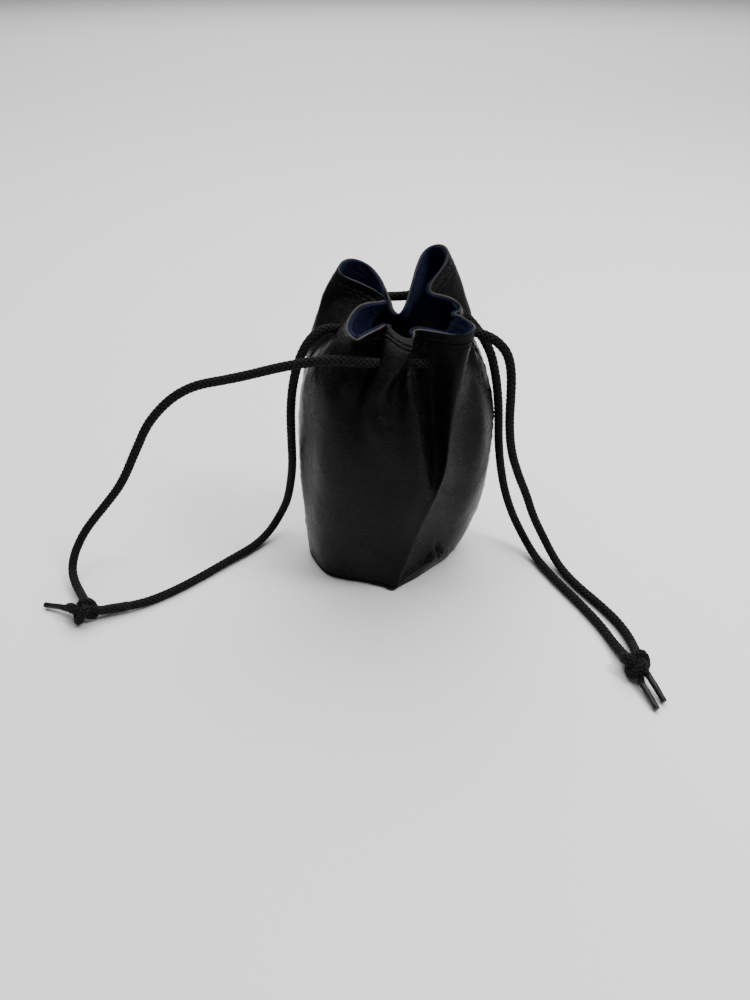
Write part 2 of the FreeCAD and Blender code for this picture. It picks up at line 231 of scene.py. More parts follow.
# ---------------------------------------------------------------- the pouch wall
# Feature lines of the gathered wall, clockwise from the right side seam; each
# has a point at every level: the eleven lower ones at LEVEL_Z, then three
# of its own towards the rim.
LEVEL_Z = (0.6, 7, 20, 34, 46, 58, 69, 79, 88, 95, 101)
LINES = [
    ("seam_right", [(27.7, 1.8), (31, 1), (35.5, .5), (38, 0), (39, 0), (39.3, 0), (38.9, 0), (37.2, 0), (34.6, -.5), (31, -1.5), (27.5, -2.8)],
     [(24.3, -3.8, 106.5), (22.2, -4.6, 110.3), (21.5, -5.1, 113.5)]),
    ("right_n", [(24, -7), (27.5, -8), (32, -8.5), (35, -9), (36.8, -8.8), (37.4, -8.2), (37, -7.5), (35.5, -6.5), (33, -5.5), (30, -4.8), (26.6, -4.7)],
     [(23.6, -5, 106.5), (22.0, -5.9, 110.2), (22.0, -6.2, 113.5)]),
    ("right_m", [(17, -15), (20.5, -16), (25, -16.5), (28.5, -16.5), (31, -16), (32.5, -15.5), (33, -14.5), (32.3, -12.5), (30.5, -10.5), (28.2, -8.5), (25, -7)],
     [(22.2, -7.2, 106.5), (21.8, -7.6, 110), (22.9, -7.8, 113.5)]),
    ("r2_back", [(8.8, -23), (11.5, -22.5), (16.5, -21), (20, -21.5), (22.5, -21.8), (24.2, -21), (24.8, -19.5), (25.5, -17.5), (26, -15), (25.5, -13), (23.8, -11.6)],
     [(22.6, -11, 106.5), (23.4, -11.2, 110), (25, -11.6, 113.5)]),
    ("r2_tip", [(1.5, -28.6), (3.2, -28.2), (7.4, -27.6), (11.2, -28), (14.4, -28.8), (18, -28.4), (18.7, -27.6), (19.6, -25), (21, -23), (22.6, -21.4), (24, -20.2)],
     [(25.2, -19, 106.5), (26.2, -17.8, 110), (26.9, -17, 113.4)]),
    ("r2_side", [(.8, -29.3), (2.7, -28.9), (7, -28.2), (10.9, -28.6), (14.2, -29.3), (17.2, -28.7), (17.9, -27), (18.3, -24.6), (19.2, -22.8), (20.4, -22.2), (21.6, -21.8)],
     [(23, -21.2, 106), (23.6, -21, 109.4), (23.6, -20.9, 112.5)]),
    ("r2_left", [(.2, -29.9), (2.2, -29.6), (6.6, -28.8), (10.6, -29), (13.9, -29.6), (16.4, -27.2), (16.6, -24.2), (16.2, -21.5), (16.6, -19.5), (17, -18.5), (17, -18)],
     [(16.5, -17.5, 105.5), (15.8, -17.2, 108.5), (15.4, -17.1, 111)]),
    ("pleat", [(-1.3, -30.6), (.9, -30.4), (5.4, -29.6), (9.6, -29.6), (13, -29.9), (14.2, -26), (13.2, -21.5), (12, -18.5), (10.8, -16.2), (9.4, -14), (8.2, -12.6)],
     [(6.8, -11.2, 105.2), (6.2, -11, 107.6), (6, -11.2, 109.6)]),
    ("fold_edge", [(-4, -29.4), (-1.4, -29.8), (3.2, -29.7), (7.6, -29.8), (11.4, -30.3), (10.8, -30.4), (8.6, -30.2), (6.5, -29), (4.3, -26.8), (3.2, -22.2), (4.6, -16)],
     [(5.4, -13.6, 104.6), (5.4, -12.9, 107.4), (5.45, -12.3, 109.3)]),
    ("front_v", [(-4.8, -28.8), (-2.6, -29.4), (0, -29.8), (3.6, -30.6), (6.4, -31.4), (5.6, -31.3), (3.4, -30), (1, -27), (-.6, -23.4), (.6, -19.8), (3, -17)],
     [(4.6, -16, 104), (5, -14.8, 107.2), (5.4, -13.6, 109)]),
    ("finger_r", [(-5.4, -28.4), (-4, -28.8), (-2.8, -29.5), (0, -30.9), (1.8, -31.8), (1, -31.8), (-1.4, -31), (-4.6, -29.8), (-6.4, -27.2), (-3.4, -25), (1, -22.6)],
     [(3.4, -20.8, 103.8), (4.4, -18.6, 106.6), (4.4, -16.2, 108.4)]),
    ("finger_m", [(-6, -28), (-5.4, -28.2), (-4.6, -29.4), (-3, -31), (-2.2, -32), (-2.6, -32), (-4.8, -31.5), (-8.2, -30.6), (-9.6, -27.9), (-6.8, -26.2), (-3.2, -24)],
     [(-1.2, -21.6, 104.6), (-.4, -18, 107.6), (-.6, -14.8, 109.6)]),
    ("finger_l", [(-8, -27.4), (-7.4, -27.6), (-6.4, -29), (-6, -30.8), (-6, -31.8), (-6.2, -31.8), (-8, -31), (-11.6, -29.4), (-12.6, -26.4), (-10.4, -24.2), (-7.8, -21.6)],
     [(-6, -19, 105.4), (-4.9, -15.5, 108.8), (-4.4, -11.4, 111.8)]),
    ("valley_l", [(-11.6, -26), (-12, -26.6), (-12, -28.4), (-12, -30), (-12, -31), (-12.4, -31), (-13.4, -29.8), (-14.8, -27), (-15.2, -23.2), (-12.6, -18.8), (-9.3, -14.2)],
     [(-7.2, -11.6, 105.2), (-6, -10.2, 108), (-5.1, -9, 110.5)]),
    ("l2_right", [(-17.6, -24.6), (-18.2, -25.2), (-18.6, -27), (-18.8, -28.4), (-18.8, -29.4), (-19, -29.6), (-19.4, -28.6), (-19.4, -26.8), (-18.6, -24), (-16.4, -20.2), (-12.6, -16.4)],
     [(-11, -15, 105.4), (-11.2, -16.6, 108.4), (-11.7, -18.8, 111)]),
    ("l2_tip", [(-24.6, -22.8), (-25.2, -23.2), (-25.4, -24.8), (-25.6, -26), (-25.6, -26.8), (-25.6, -27), (-25.4, -26.6), (-24.8, -25.8), (-23.6, -24.2), (-21.4, -21.4), (-18.6, -18.6)],
     [(-16.2, -18.2, 105.6), (-15.6, -21, 108.8), (-15.7, -24.8, 111.8)]),
    ("l2_m", [(-30, -20), (-30.8, -20), (-31.2, -20.6), (-31.6, -21.2), (-31.6, -21.6), (-31.6, -21.8), (-31.2, -21.4), (-30.6, -20.8), (-29.4, -19.4), (-27.4, -17.4), (-24.2, -15.6)],
     [(-21.4, -15.6, 105.8), (-19.9, -17.4, 109.5), (-18.9, -19.8, 113)]),
    ("l2_left", [(-35, -12.2), (-35.6, -12.4), (-35.8, -13.2), (-36, -14), (-36, -14.4), (-35.8, -14.4), (-35.4, -14), (-34.6, -13.2), (-33.2, -12.2), (-31, -10.8), (-27.6, -9.4)],
     [(-24.6, -8.8, 105.6), (-21.6, -9.4, 109.8), (-18.7, -10.3, 114)]),
    ("l2_back", [(-37.6, -6.6), (-38.2, -6.6), (-38.9, -6.8), (-39.3, -7), (-39.4, -7.2), (-39.2, -7.2), (-38.6, -7), (-37.6, -6.8), (-35.8, -6.2), (-32.6, -4.4), (-26.5, -1.7)],
     [(-20.5, 2.4, 104.6), (-15.6, 5, 109.4), (-11.9, 7.3, 113)]),
    ("seam_left", [(-38, -1.8), (-39, -1.2), (-39.8, -.4), (-40.3, 0), (-40.4, 0), (-40.2, 0), (-39.6, 0), (-38.2, .2), (-36, .8), (-32.2, 2.2), (-25.6, 4.4)],
     [(-17.5, 7.6, 105.6), (-10.8, 10.8, 109), (-4.7, 12.5, 112)]),
    ("l1_front", [(-34, 6.4), (-35.6, 7), (-37.4, 8), (-38.3, 8.6), (-38.5, 8.8), (-38.4, 8.8), (-38.2, 8.6), (-37.8, 8.4), (-36.6, 8), (-34.4, 8), (-31.6, 8.4)],
     [(-27, 9.6, 106.5), (-19.6, 12.8, 112.4), (-13, 14.2, 117)]),
    ("l1_side", [(-28.8, 12.6), (-31, 13.6), (-33.4, 14.8), (-34.8, 15.8), (-35.2, 16.2), (-35.2, 16.2), (-35.2, 16), (-35.4, 15.4), (-35.2, 14.8), (-34.2, 14.4), (-33, 14)],
     [(-31.4, 13.8, 106.5), (-28.2, 14, 114.5), (-22.6, 14.4, 122)]),
    ("l1_tip", [(-21, 20), (-23, 21.4), (-25.2, 23.2), (-26.6, 24.4), (-27, 25), (-27.2, 25), (-27, 24.6), (-27, 23.8), (-26.8, 22.8), (-26.4, 22), (-25.8, 21.6)],
     [(-25, 21.6, 106.5), (-23.4, 22.4, 115.5), (-20, 23.1, 124.2)]),
    ("l1_rear", [(-13.4, 24.6), (-14.6, 26.2), (-16, 28.2), (-16.8, 29.6), (-17.2, 30.2), (-17.2, 30.2), (-17, 29.8), (-16.6, 28.8), (-16, 27.4), (-15.4, 26), (-14.4, 24.6)],
     [(-13.4, 24, 106.5), (-12.2, 25, 114), (-10.9, 26, 120.6)]),
    ("l1_right", [(-5.6, 26), (-6.2, 27.6), (-6.8, 29.6), (-7.1, 31.2), (-7.2, 31.8), (-7.2, 31.6), (-7, 30.8), (-6.8, 29.2), (-6.4, 26.4), (-6, 22.8), (-5.6, 19.4)],
     [(-5, 16.4, 106.5), (-4.5, 15.6, 110.4), (-4.1, 15.4, 114)]),
    ("valley_rear", [(.6, 26.6), (.8, 28.2), (1, 30.2), (1.2, 31.8), (1.2, 32.4), (1.2, 32.2), (1.2, 31.4), (1.2, 29), (1.2, 24.6), (1.2, 20), (1.2, 15.4)],
     [(1, 9.8, 104.8), (.5, 5.6, 107.6), (.2, 3.1, 109.8)]),
    ("r1_left", [(7, 26.2), (8, 27.8), (8.8, 29.8), (9.4, 31.2), (9.6, 31.8), (9.6, 31.6), (9.4, 30.8), (9.2, 29), (8.8, 25.8), (8.2, 22), (7.4, 18.2)],
     [(6.2, 14.4, 106.5), (5.4, 12.4, 113.5), (5, 11.5, 120)]),
    ("r1_rear", [(13, 24.8), (14.6, 26.4), (16.4, 28.4), (17.6, 29.8), (18, 30.4), (18.2, 30.2), (18, 29.6), (17.8, 28.4), (17.4, 26.8), (16.8, 25.2), (15.6, 23.8)],
     [(14.4, 22.8, 106.5), (12.8, 23.6, 117), (10.8, 24.4, 127.8)]),
    ("r1_tip", [(18, 21.8), (20.2, 23.4), (23, 25.4), (25, 26.8), (26, 27.4), (26.4, 27.2), (26.6, 26.4), (27, 25), (27.4, 23.2), (27.4, 21.8), (27, 20.6)],
     [(26, 19.6, 106.5), (22.4, 20.6, 118.5), (17.2, 21.4, 130.2)]),
    ("r1_right", [(21.5, 18.6), (24.4, 19.8), (28, 21.2), (30.4, 22.2), (31.6, 22.6), (32.2, 22), (32.2, 20.8), (32, 19.2), (31.6, 17.4), (30.8, 15.8), (29.6, 14.4)],
     [(27.6, 13.2, 106.5), (23.4, 12.6, 117), (18, 11.8, 126.6)]),
    ("notch_right", [(24, 15.4), (27.2, 16), (31, 16.6), (33.6, 17), (34.8, 17.2), (35.2, 16.6), (35, 15.6), (34.2, 14), (32.6, 12.2), (29.6, 10.6), (25.4, 9.4)],
     [(20.6, 8.8, 106.5), (15.6, 7.2, 113), (11.3, 4.4, 118.8)]),
    ("r1b_left", [(26, 11.4), (29.4, 11.6), (33.4, 11.4), (36, 11.4), (37.2, 11.2), (37.6, 10.8), (37.2, 10), (36, 8.8), (34, 7.4), (31, 6.2), (27.8, 4.8)],
     [(24.4, 3.6, 106.5), (20.8, 2.6, 112.5), (18.2, 1.9, 117.6)]),
    ("r1b_tip", [(27.3, 6.2), (30.8, 6), (35, 5.2), (37.5, 5), (38.6, 5), (38.9, 4.8), (38.3, 4.4), (36.8, 3.8), (34.4, 3), (31.4, 2), (28.4, 1)],
     [(25.6, -.2, 106.5), (24.2, -1.2, 111), (23.1, -3.1, 114.8)]),
]
NAMES = [l[0] for l in LINES]
GRID = np.array([[(x, y, z) for (x, y), z in zip(low, LEVEL_Z)] + list(high) for _, low, high in LINES], float)
N, K = GRID.shape[:2]
LEFT = NAMES.index("seam_left")


def natural(t, y, q):
    """Natural cubic spline through y at t, at q, along the first axis."""
    n = len(t)
    h = np.diff(t)
    A = np.zeros((n, n))
    B = np.zeros((n,) + y.shape[1:])
    A[0, 0] = A[-1, -1] = 1
    for i in range(1, n - 1):
        A[i, i - 1], A[i, i], A[i, i + 1] = h[i - 1], 2 * (h[i - 1] + h[i]), h[i]
        B[i] = 6 * ((y[i + 1] - y[i]) / h[i] - (y[i] - y[i - 1]) / h[i - 1])
    M = np.linalg.solve(A, B.reshape(n, -1)).reshape(B.shape)
    i = np.clip(np.searchsorted(t, q, side="right") - 1, 0, n - 2)
    e = (slice(None),) + (None,) * (y.ndim - 1)
    a, b, w = (t[i + 1] - q)[e], (q - t[i])[e], h[i][e]
    return M[i] * a ** 3 / (6 * w) + M[i + 1] * b ** 3 / (6 * w) + (y[i] / w - M[i] * w / 6) * a + (y[i + 1] / w - M[i + 1] * w / 6) * b


def periodic(points, s):
    """Closed smooth curve through points at whole numbers of s."""
    n = len(points)
    pad = 6
    idx = np.arange(-pad, n + pad + 1)
    P = points[idx % n]
    chord = np.sqrt(np.linalg.norm(np.diff(P, axis=0), axis=1) + 0.05)
    t = np.concatenate([[0], np.cumsum(chord)])
    # smooth, always rising map from s to the chord parameter
    d = chord
    m = np.zeros(len(t))
    m[1:-1] = 2 * d[:-1] * d[1:] / (d[:-1] + d[1:])
    m[0], m[-1] = d[0], d[-1]
    x = s + pad
    i = np.clip(x.astype(int), 0, len(t) - 2)
    f = x - i
    tq = (t[i] * (2 * f ** 3 - 3 * f ** 2 + 1) + m[i] * (f ** 3 - 2 * f ** 2 + f) + t[i + 1] * (3 * f ** 2 - 2 * f ** 3) + m[i + 1] * (f ** 3 - f ** 2))
    return natural(t, P, tq)


step_mm = 0.55
rows_of = []
spans = np.linalg.norm(np.roll(GRID, -1, 0) - GRID, axis=2)
counts = np.maximum(5, np.round(np.percentile(spans, 75, axis=1) / step_mm).astype(int))
S = np.concatenate([i + np.arange(c) / c for i, c in enumerate(counts)])
starts = np.concatenate([[0], np.cumsum(counts)])
LEFT_COL = starts[LEFT]
rings = np.stack([periodic(GRID[:, k], S) for k in range(K)])          # K x U x 3
heights = np.concatenate([[0], np.cumsum(np.linalg.norm(np.diff(rings, axis=0), axis=2).mean(1))])
rim_step = 0.26
VQ = np.concatenate([np.arange(0, heights[-1] - 9.0, step_mm * 1.05), np.linspace(heights[-1] - 8.8, heights[-1], int(8.8 / rim_step))])
NV = len(VQ)
SURF = natural(heights, rings, VQ)                                       # V x U x 3


def relax(P, times, share):
    for _ in range(times):
        Q = P.copy()
        Q[1:-1] = 0.25 * (P[:-2] + P[2:] + np.roll(P, 1, 1)[1:-1] + np.roll(P, -1, 1)[1:-1])
        Q[0] = 0.5 * (np.roll(P, 1, 1)[0] + np.roll(P, -1, 1)[0])
        Q[-1] = 0.5 * (np.roll(P, 1, 1)[-1] + np.roll(P, -1, 1)[-1])
        P = P + share * (Q - P)
    return P


def normals_of(P):
    tu = np.roll(P, -1, 1) - np.roll(P, 1, 1)
    tv = np.gradient(P, axis=0)
    return unit(np.cross(tv, tu))


SURF = relax(SURF, 6 if step_mm > 0.8 else 14, 0.5)

# distances down from the rim and up from the floor, along the cloth
down = np.concatenate([np.zeros((1, SURF.shape[1])), np.cumsum(np.linalg.norm(np.diff(SURF[::-1], axis=0), axis=2), axis=0)])[::-1]
up = np.concatenate([np.zeros((1, SURF.shape[1])), np.cumsum(np.linalg.norm(np.diff(SURF, axis=0), axis=2), axis=0)])
NRM = normals_of(SURF)


def bell(x, w):
    return np.exp(-(x / w) ** 2)


def around(col):
    """Distance along each row from a column, signed, in mm."""
    seg = np.linalg.norm(np.roll(SURF, -1, 1) - SURF, axis=2)
    c = np.concatenate([np.zeros((len(SURF), 1)), np.cumsum(seg, axis=1)], axis=1)
    total = c[:, -1:]
    a = c[:, :-1] - c[:, col:col + 1]
    return (a + total / 2) % total - total / 2


side_r, side_l = around(0), around(LEFT_COL)
Z = SURF[..., 2]
wrinkle = np.zeros(Z.shape)
# broad slack of the skin, and finer drag lines near the neck and the seams
flat = SURF * np.array([1.0, 1.0, 0.75])
wrinkle += 0.42 * noise_at(flat, 1 / 13.0, 3.1) * (1 - bell(Z - 0, 6)) * np.clip((124 - Z) / 20, 0, 1)
wrinkle += 0.16 * noise_at(flat, 1 / 4.2, 7.7) * np.clip((Z - 4) / 10, 0, 1) * (0.35 + 0.65 * bell(Z - 97, 16))
long = SURF * np.array([1.0, 1.0, 0.22])
wrinkle += 0.34 * noise_at(long, 1 / 3.4, 12.3) * bell(Z - 98, 12)
wrinkle += 0.13 * noise_at(long, 1 / 1.9, 1.3) * bell(Z - 96, 9)
# side seams: a turned seam pulled tight, with puckers running off it
for side, seed in ((side_r, 5.0), (side_l, 9.0)):
    wrinkle -= 0.6 * bell(side, 0.6)
    wrinkle += 0.2 * bell(np.abs(side) - 1.3, 0.9)
    pucker = noise_at(SURF * np.array([0.3, 0.3, 1.0]), 1 / 2.4, seed)
    wrinkle += 0.34 * pucker * bell(np.abs(side) - 1.4, 2.0)
# base seam: low all round, riding up at the front right where the base is pushed out
seam_h = 1.3 + 8.5 * bell(side_r - 27, 13)
out_front = bell(side_r - 26, 15)
wrinkle -= (0.4 + 0.75 * out_front) * bell(up - seam_h, 0.6)
wrinkle += (0.2 + 0.5 * out_front) * bell(up - seam_h - 1.6, 1.1) + 0.25 * bell(up - seam_h + 1.3, 0.9)
wrinkle += (0.22 + 0.5 * out_front) * noise_at(SURF * np.array([1, 1, .4]), 1 / 2.6, 4.4) * bell(up - seam_h - 2.2, 3.4)
# two pinched folds where the base corner is pushed out
wrinkle -= 1.9 * bell(side_r - 26 - 0.5 * (up - 13), 1.1) * bell(up - 13.5, 4.2)
wrinkle -= 1.5 * bell(side_r - 32 + 0.3 * (up - 10), 1.0) * bell(up - 10.5, 3.4)
wrinkle += 0.9 * bell(side_r - 29 - 0.2 * (up - 12), 1.5) * bell(up - 12, 4.0)
# gathers that the cords leave in the skin behind, running down from the neck
rear_part = bell(np.abs(around(starts[NAMES.index("valley_rear")])), 46) * np.clip((124 - Z) / 14, 0, 1)
gather = noise_at(SURF * np.array([1.0, 1.0, 0.10]), 1 / 3.1, 21.0)
ridge = 1 - 2.2 * np.abs(gather)
wrinkle += 1.0 * rear_part * ridge * bell(Z - 99, 12)
wrinkle += 0.55 * rear_part * noise_at(SURF * np.array([1.0, 1.0, 0.2]), 1 / 7.5, 31.0) * bell(Z - 84, 24)
# hem: the stitch rows draw the skin in a little, and the band between swells
for row in (3.4, 5.2):
    wrinkle -= 0.30 * bell(down - row, 0.36)
wrinkle += 0.10 * bell(down - 4.3, 0.45)
OUT = SURF + NRM * wrinkle[..., None]
OUT[..., 2] = np.maximum(OUT[..., 2], 0.35)
NRM = normals_of(OUT)

SKIN_T, FELT_T = 0.9, 1.0


def inward(P, nrm, dist):
    """P moved in along its normals, smoothed where a tight fold would cross itself."""
    Q = P - nrm * dist
    m = unit(relax(nrm, 3, 0.5))
    return 0.5 * Q + 0.5 * (P - m * dist)


def grid_tree(P):
    nv, nu = P.shape[:2]
    j, i = np.meshgrid(np.arange(nv - 1), np.arange(nu), indexing="ij")
    a = (j * nu + i).ravel()
    b = (j * nu + (i + 1) % nu).ravel()
    faces = np.stack([a, a + nu, b + nu, b], 1)
    return BVHTree.FromPolygons([tuple(v) for v in P.reshape(-1, 3)], [tuple(f) for f in faces.tolist()])


SKIN_TREE = grid_tree(OUT)


def held_in(P, gap, rounds=3):
    """Moves the points of a lining in until each is at least gap under the skin."""
    P = P.copy()
    flatP = P.reshape(-1, 3)
    todo = np.arange(len(flatP))
    for _ in range(rounds):
        moved = []
        for k in todo:
            co, nn, _i, dist = SKIN_TREE.find_nearest(Vector(flatP[k]))
            depth = -(Vector(flatP[k]) - co).dot(nn)
            if depth < gap * 0.97 and (depth < 0 or dist < gap * 0.97):
                flatP[k] = np.array(co) - np.array(nn) * gap
                moved.append(k)
        P = relax(flatP.reshape(P.shape), 1, 0.35)
        flatP = P.reshape(-1, 3)
        todo = np.array(moved, int)
        if not len(todo):
            break
    return P


INNER = held_in(inward(OUT, NRM, SKIN_T), 0.55)
FELT_OUT = held_in(inward(OUT, NRM, SKIN_T + 0.08), 0.62)
FELT_IN = held_in(inward(OUT, NRM, SKIN_T + 0.08 + FELT_T), 1.5)
# at the drawn-in neck the felt bunches towards the middle and nearly fills the throat
throat = bell(FELT_IN[..., 2] - 98.5, 7.5)
bunch = 0.54 * throat * (1 + 0.30 * noise_at(FELT_IN * np.array([1.0, 1.0, 0.3]), 1 / 5.0, 14.0))
FELT_IN[..., :2] = np.array([1.5, 1.5]) + (FELT_IN[..., :2] - np.array([1.5, 1.5])) * (1 - bunch[..., None])
FELT_IN += 0.5 * (throat * noise_at(FELT_IN, 1 / 2.2, 18.0))[..., None] * np.array([0.3, 0.3, 1.0])
fuzz = 0.16 * noise_at(FELT_IN, 1 / 1.1, 2.2) + 0.10 * noise_at(FELT_IN, 1 / 0.55, 6.2)
FELT_IN = FELT_IN + NRM * fuzz[..., None]


def shell(name, A, B, first, last, mats, v0=0, edge_slot=0, rim_drop=0.0):
    """A closed sheet between grids A (outer) and B (inner), columns first..last, rows v0 up."""
    cols = [c % A.shape[1] for c in range(first, last + 1)]
    a, b = A[v0:, cols].copy(), B[v0:, cols].copy()
    if rim_drop:
        for g in (a, b):
            d = unit(g[-1] - g[-4])
            g[-1] -= d * rim_drop
            g[-2] -= d * rim_drop * 0.4
    nv, nu = a.shape[:2]
    verts = np.concatenate([a.reshape(-1, 3), b.reshape(-1, 3)])
    off = nv * nu
    j, i = np.meshgrid(np.arange(nv - 1), np.arange(nu - 1), indexing="ij")
    p = (j * nu + i).ravel()
    outer = np.stack([p, p + nu, p + nu + 1, p + 1], 1)
    inner = np.stack([p, p + 1, p + nu + 1, p + nu], 1) + off
    i = np.arange(nu - 1)
    top = (nv - 1) * nu + i
    rim = np.stack([top, top + off, top + off + 1, top + 1], 1)
    low = np.stack([i, i + 1, i + 1 + off, i + off], 1)
    j = np.arange(nv - 1)
    l = j * nu
    left = np.stack([l, l + off, l + nu + off, l + nu], 1)
    r = j * nu + nu - 1
    right = np.stack([r, r + nu, r + nu + off, r + off], 1)
    faces = np.concatenate([outer, inner, rim, low, left, right])
    index = np.zeros(len(faces), int)
    index[len(outer) + len(inner):len(outer) + len(inner) + len(rim)] = edge_slot
    ob = mesh_object(name, verts, faces, mats, index)
    return ob


U = OUT.shape[1]
front = (0, LEFT_COL)
rear = (LEFT_COL, U)
skin_front = shell("front_shell", OUT, INNER, *front, [LEATHER, EDGE], edge_slot=1)
skin_rear = shell("rear_shell", OUT, INNER, *rear, [LEATHER, EDGE], edge_slot=1)
felt_front = shell("front_felt", FELT_OUT, FELT_IN, *front, [FELT], v0=2, rim_drop=0.15)
felt_rear = shell("rear_felt", FELT_OUT, FELT_IN, *rear, [FELT], v0=2, rim_drop=0.15)


# the base: soft oval discs of skin and of felt inside the wall's lowest rows
def base_disc(name, ring, z_low, z_high, mats, dome=0.0):
    """A soft oval disc inside a ring of points."""
    c = ring.mean(0)
    fs = np.concatenate([np.linspace(0.04, 0.96, 26), [1.0]])
    grid = []
    for f in fs:
        row = c + (ring - c) * f
        row[:, 2] = z_high + dome * (1 - f ** 2) + 0.22 * noise_at(row * np.array([1, 1, 0]), 1 / 7.0, 8.0) * (1 - f ** 8)
        grid.append(row)
    grid = np.array(grid)
    n, m = grid.shape[:2]
    below = grid.copy()
    below[..., 2] = z_low
    verts = np.concatenate([grid.reshape(-1, 3), below.reshape(-1, 3), [[c[0], c[1], z_high + dome]], [[c[0], c[1], z_low]]])
    faces = []
    off = n * m
    for j in range(n - 1):
        for i in range(m):
            k = (i + 1) % m
            faces.append((j * m + i, (j + 1) * m + i, (j + 1) * m + k, j * m + k))
            faces.append((off + j * m + i, off + j * m + k, off + (j + 1) * m + k, off + (j + 1) * m + i))
    for i in range(m):
        k = (i + 1) % m
        faces.append(((n - 1) * m + i, off + (n - 1) * m + i, off + (n - 1) * m + k, (n - 1) * m + k))
        faces.append((2 * off, i, k))
        faces.append((2 * off + 1, off + k, off + i))
    return mesh_object(name, verts, faces, mats)


ring = INNER[2, ::2].copy()
ring = ring[::-1]
base_skin = base_disc("base_shell", ring, 0.02, 0.9, [LEATHER])
ring_f = FELT_IN[4, ::2].copy()[::-1]
base_felt = base_disc("base_felt", ring_f, 1.0, 2.0, [FELT], dome=0.4)


# ---------------------------------------------------------------- stitches
def capsules(name, segments, radius, mat, flat=0.8):
    """Short threads: each segment is (start, end, normal)."""
    rings_t = np.array([0.0, 0.03, 0.12, 0.3, 0.5, 0.7, 0.88, 0.97, 1.0])
    size = np.array([0.12, 0.55, 0.9, 1.0, 1.0, 1.0, 0.9, 0.55, 0.12])
    lift = np.array([-0.5, -0.2, 0.05, 0.25, 0.3, 0.25, 0.05, -0.2, -0.5])
    k = 8
    th = np.arange(k) * 2 * math.pi / k
    V, F = [], []
    for a, b, nn in segments:
        d = unit(b - a)
        nn = unit(nn - d * (nn @ d))
        w = np.cross(d, nn)
        base = len(V) * k * len(rings_t)
        pts = []
        for t, s, l in zip(rings_t, size, lift):
            c = a + (b - a) * t + nn * l * radius
            pts.append(c + radius * s * (np.cos(th)[:, None] * w + np.sin(th)[:, None] * nn * flat))
        V.append(np.concatenate(pts))
        for j in range(len(rings_t) - 1):
            for i in range(k):
                m = (i + 1) % k
                F.append((base + j * k + i, base + j * k + m, base + (j + 1) * k + m, base + (j + 1) * k + i))
        F.append(tuple(base + i for i in range(k))[::-1])
        F.append(tuple(base + (len(rings_t) - 1) * k + i for i in range(k)))
    return mesh_object(name, np.concatenate(V), F, [mat])


def along_row(depth_grid, depth, first, last):
    """Points and normals of the wall where a distance grid equals depth, between columns."""
    P, Nn = [], []
    for c in range(first, last + 1):
        c %= U
        g = depth_grid[:, c]
        order = np.argsort(g)
        want = depth if np.isscalar(depth) else depth[c]
        v = np.interp(want, g[order], order.astype(float))
        i = int(min(max(math.floor(v), 0), len(OUT) - 2))
        f = v - i
        P.append(OUT[i, c] * (1 - f) + OUT[i + 1, c] * f)
        Nn.append(NRM[i, c] * (1 - f) + NRM[i + 1, c] * f)
    return np.array(P), unit(np.array(Nn))


def stitched(P, Nn, pitch, length, skip=1.2, sink=0.05):
    run = np.concatenate([[0], np.cumsum(np.linalg.norm(np.diff(P, axis=0), axis=1))])
    n = max(1, int((run[-1] - 2 * skip) / pitch))
    out = []
    for k in range(n):
        s0 = skip + k * (run[-1] - 2 * skip) / n
        s1 = s0 + length
        a, b, nn = [np.array([np.interp(s, run, g[:, i]) for i in range(3)]) for g, s in ((P, s0), (P, s1), (Nn, (s0 + s1) / 2))]
        out.append((a - nn * sink, b - nn * sink, nn))
    return out


hem = {}
for half, (a, b) in (("front", front), ("rear", rear)):
    segs = []
    for row in (3.4, 5.2):
        segs += stitched(*along_row(down, row, a, b), 3.0, 2.35)
    hem[half] = capsules(half + "_hem_threads", segs, 0.2, THREAD)
seam_threads = {}
for side, col in (("right", 0), ("left", LEFT_COL)):
    rows = np.arange(6, int(NV * 0.72))
    P, Nn = OUT[rows, col], NRM[rows, col]
    seam_threads[side] = capsules(side + "_seam_threads", stitched(P, Nn, 3.0, 2.2, sink=-0.02), 0.19, THREAD)
P, Nn = along_row(up, seam_h.mean(0), 0, U - 1)
base_threads = capsules("base_seam_threads", stitched(P, Nn, 3.1, 2.2, sink=-0.02), 0.19, THREAD)


# ---------------------------------------------------------------- braided cords
CORD_D = 3.8


def frames_along(P):
    """Tangents and a steady pair of cross directions along a line."""
    T = unit(np.gradient(P, axis=0))
    a = np.cross(T[0], [0.0, 0.0, 1.0])
    if np.linalg.norm(a) < 0.1:
        a = np.cross(T[0], [1.0, 0.0, 0.0])
    A = np.zeros_like(P)
    A[0] = unit(a)
    for i in range(1, len(P)):
        x = A[i - 1] - T[i] * (A[i - 1] @ T[i])
        A[i] = unit(x)
    return T, A, np.cross(T, A)


def evenly(P, step):
    run = np.concatenate([[0], np.cumsum(np.linalg.norm(np.diff(P, axis=0), axis=1))])
    s = np.linspace(0, run[-1], max(3, int(run[-1] / step) + 1))
    return np.stack([np.interp(s, run, P[:, i]) for i in range(3)], 1), s


def softened(P, times):
    P = P.copy()
    for _ in range(times):
        P[1:-1] = 0.5 * P[1:-1] + 0.25 * (P[:-2] + P[2:])
    return P


